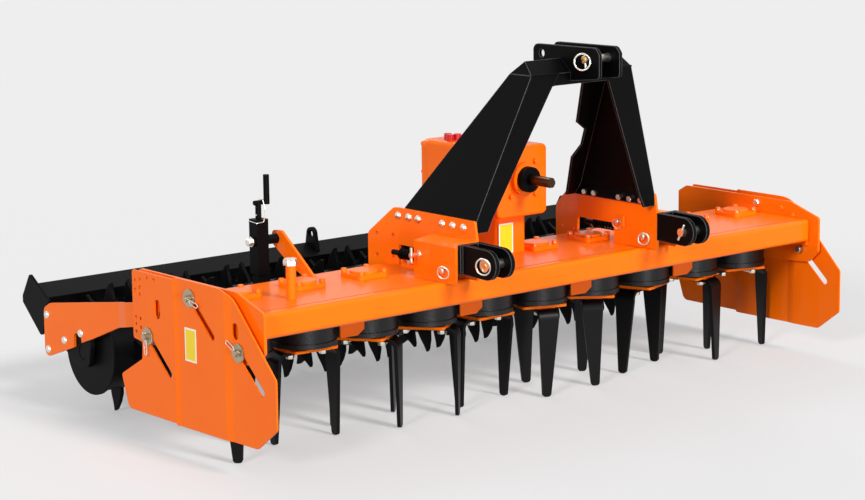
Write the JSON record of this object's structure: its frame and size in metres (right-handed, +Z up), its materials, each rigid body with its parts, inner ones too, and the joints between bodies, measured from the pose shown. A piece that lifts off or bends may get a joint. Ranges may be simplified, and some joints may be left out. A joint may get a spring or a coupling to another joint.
{
  "type": "mounted power harrow",
  "caption": "Tractor-mounted power harrow: a gear trough carrying a row of tined rotors, three-point tower, side deflectors, levelling bar and toothed packer roller.",
  "frame": {"origin": "on the ground under the middle of the machine's box", "axes": "+X across the machine to its right seen from the front, +Y from the tractor hitch to the roller, +Z up"},
  "size_m": [2.594, 1.621, 1.2309],
  "materials": {
    "orange_paint": "gloss",
    "black_paint": "gloss",
    "zinc": "satin",
    "steel": "oiled",
    "plug": "gloss"
  },
  "bodies": {
    "frame": {"gear_trough": "orange_paint", "deck_lid": "orange_paint", "front_rail": "orange_paint", "bearing_covers": "orange_paint", "rotor_guards": "orange_paint", "gearbox_pedestal": "orange_paint", "gearbox_housing": "orange_paint", "gearbox_rear_cover": "orange_paint", "end_plate_left": "orange_paint", "end_plate_right": "orange_paint", "hitch_bracket_left": "orange_paint", "hitch_bracket_right": "orange_paint", "jack_brackets": "orange_paint", "rotor_housings": "black_paint", "input_seal": "black_paint", "tower_head": "black_paint", "top_link_plates": "black_paint", "tower_leg_left": "black_paint", "tower_leg_right": "black_paint", "lower_fork_left": "black_paint", "lower_fork_right": "black_paint", "jack_tubes": "black_paint", "jack_cranks": "black_paint", "oil_filler": "zinc", "top_link_pin": "zinc", "link_pins": "zinc", "guide_pins_left": "zinc", "guide_pins_right": "zinc", "gearbox_breathers": "plug"},
    "rotor_01": {"rotor_01": "black_paint"},
    "rotor_02": {"rotor_02": "black_paint"},
    "rotor_03": {"rotor_03": "black_paint"},
    "rotor_04": {"rotor_04": "black_paint"},
    "rotor_05": {"rotor_05": "black_paint"},
    "rotor_06": {"rotor_06": "black_paint"},
    "rotor_07": {"rotor_07": "black_paint"},
    "rotor_08": {"rotor_08": "black_paint"},
    "rotor_09": {"rotor_09": "black_paint"},
    "rotor_10": {"rotor_10": "black_paint"},
    "input_shaft": {"pto_shaft": "steel"},
    "roller_frame": {"roller_arm_left": "orange_paint", "roller_arm_right": "orange_paint", "roller_hangers": "black_paint", "scraper_beam": "black_paint", "scraper_blades": "black_paint", "lifting_lug": "black_paint"},
    "roller": {"packer_roller": "black_paint"},
    "deflector_left": {"deflector_left": "orange_paint"},
    "deflector_right": {"deflector_right": "orange_paint"},
    "levelling_bar": {"levelling_bar": "black_paint"}
  },
  "joints": [
    {"name": "rotor_01_spin", "type": "hinge", "parent": "frame", "child": "rotor_01", "pos_m": [-1.125, -0.3115, 0.3], "axis": [0, 0, 1], "continuous": true},
    {"name": "rotor_02_spin", "type": "hinge", "parent": "frame", "child": "rotor_02", "pos_m": [-0.875, -0.3115, 0.3], "axis": [0, 0, 1], "continuous": true},
    {"name": "rotor_03_spin", "type": "hinge", "parent": "frame", "child": "rotor_03", "pos_m": [-0.625, -0.3115, 0.3], "axis": [0, 0, 1], "continuous": true},
    {"name": "rotor_04_spin", "type": "hinge", "parent": "frame", "child": "rotor_04", "pos_m": [-0.375, -0.3115, 0.3], "axis": [0, 0, 1], "continuous": true},
    {"name": "rotor_05_spin", "type": "hinge", "parent": "frame", "child": "rotor_05", "pos_m": [-0.125, -0.3115, 0.3], "axis": [0, 0, 1], "continuous": true},
    {"name": "rotor_06_spin", "type": "hinge", "parent": "frame", "child": "rotor_06", "pos_m": [0.125, -0.3115, 0.3], "axis": [0, 0, 1], "continuous": true},
    {"name": "rotor_07_spin", "type": "hinge", "parent": "frame", "child": "rotor_07", "pos_m": [0.375, -0.3115, 0.3], "axis": [0, 0, 1], "continuous": true},
    {"name": "rotor_08_spin", "type": "hinge", "parent": "frame", "child": "rotor_08", "pos_m": [0.625, -0.3115, 0.3], "axis": [0, 0, 1], "continuous": true},
    {"name": "rotor_09_spin", "type": "hinge", "parent": "frame", "child": "rotor_09", "pos_m": [0.875, -0.3115, 0.3], "axis": [0, 0, 1], "continuous": true},
    {"name": "rotor_10_spin", "type": "hinge", "parent": "frame", "child": "rotor_10", "pos_m": [1.125, -0.3115, 0.3], "axis": [0, 0, 1], "continuous": true},
    {"name": "input_shaft_spin", "type": "hinge", "parent": "frame", "child": "input_shaft", "pos_m": [0, -0.4615, 0.762], "axis": [0, 1, 0], "continuous": true},
    {"name": "roller_depth", "type": "hinge", "parent": "frame", "child": "roller_frame", "pos_m": [0, -0.0895, 0.431], "axis": [1, 0, 0], "range_deg": [-3, 12]},
    {"name": "roller_spin", "type": "hinge", "parent": "roller_frame", "child": "roller", "pos_m": [0, 0.4255, 0.22], "axis": [1, 0, 0], "continuous": true},
    {"name": "deflector_left_float", "type": "slide", "parent": "frame", "child": "deflector_left", "axis": [0, 0.7466, 0.6652], "range_m": [0, 0.155]},
    {"name": "deflector_right_float", "type": "slide", "parent": "frame", "child": "deflector_right", "axis": [0, 0.7466, 0.6652], "range_m": [0, 0.155]},
    {"name": "levelling_bar_height", "type": "slide", "parent": "frame", "child": "levelling_bar", "axis": [0, 0, 1], "range_m": [-0.09, 0.04]}
  ],
  "couplings": [
    {"joint": "rotor_01_spin", "follows": "rotor_05_spin", "ratio": 1},
    {"joint": "rotor_02_spin", "follows": "rotor_05_spin", "ratio": -1},
    {"joint": "rotor_03_spin", "follows": "rotor_05_spin", "ratio": 1},
    {"joint": "rotor_04_spin", "follows": "rotor_05_spin", "ratio": -1},
    {"joint": "rotor_06_spin", "follows": "rotor_05_spin", "ratio": -1},
    {"joint": "rotor_07_spin", "follows": "rotor_05_spin", "ratio": 1},
    {"joint": "rotor_08_spin", "follows": "rotor_05_spin", "ratio": -1},
    {"joint": "rotor_09_spin", "follows": "rotor_05_spin", "ratio": 1},
    {"joint": "rotor_10_spin", "follows": "rotor_05_spin", "ratio": -1},
    {"joint": "input_shaft_spin", "follows": "rotor_05_spin", "ratio": 1.8}
  ]
}
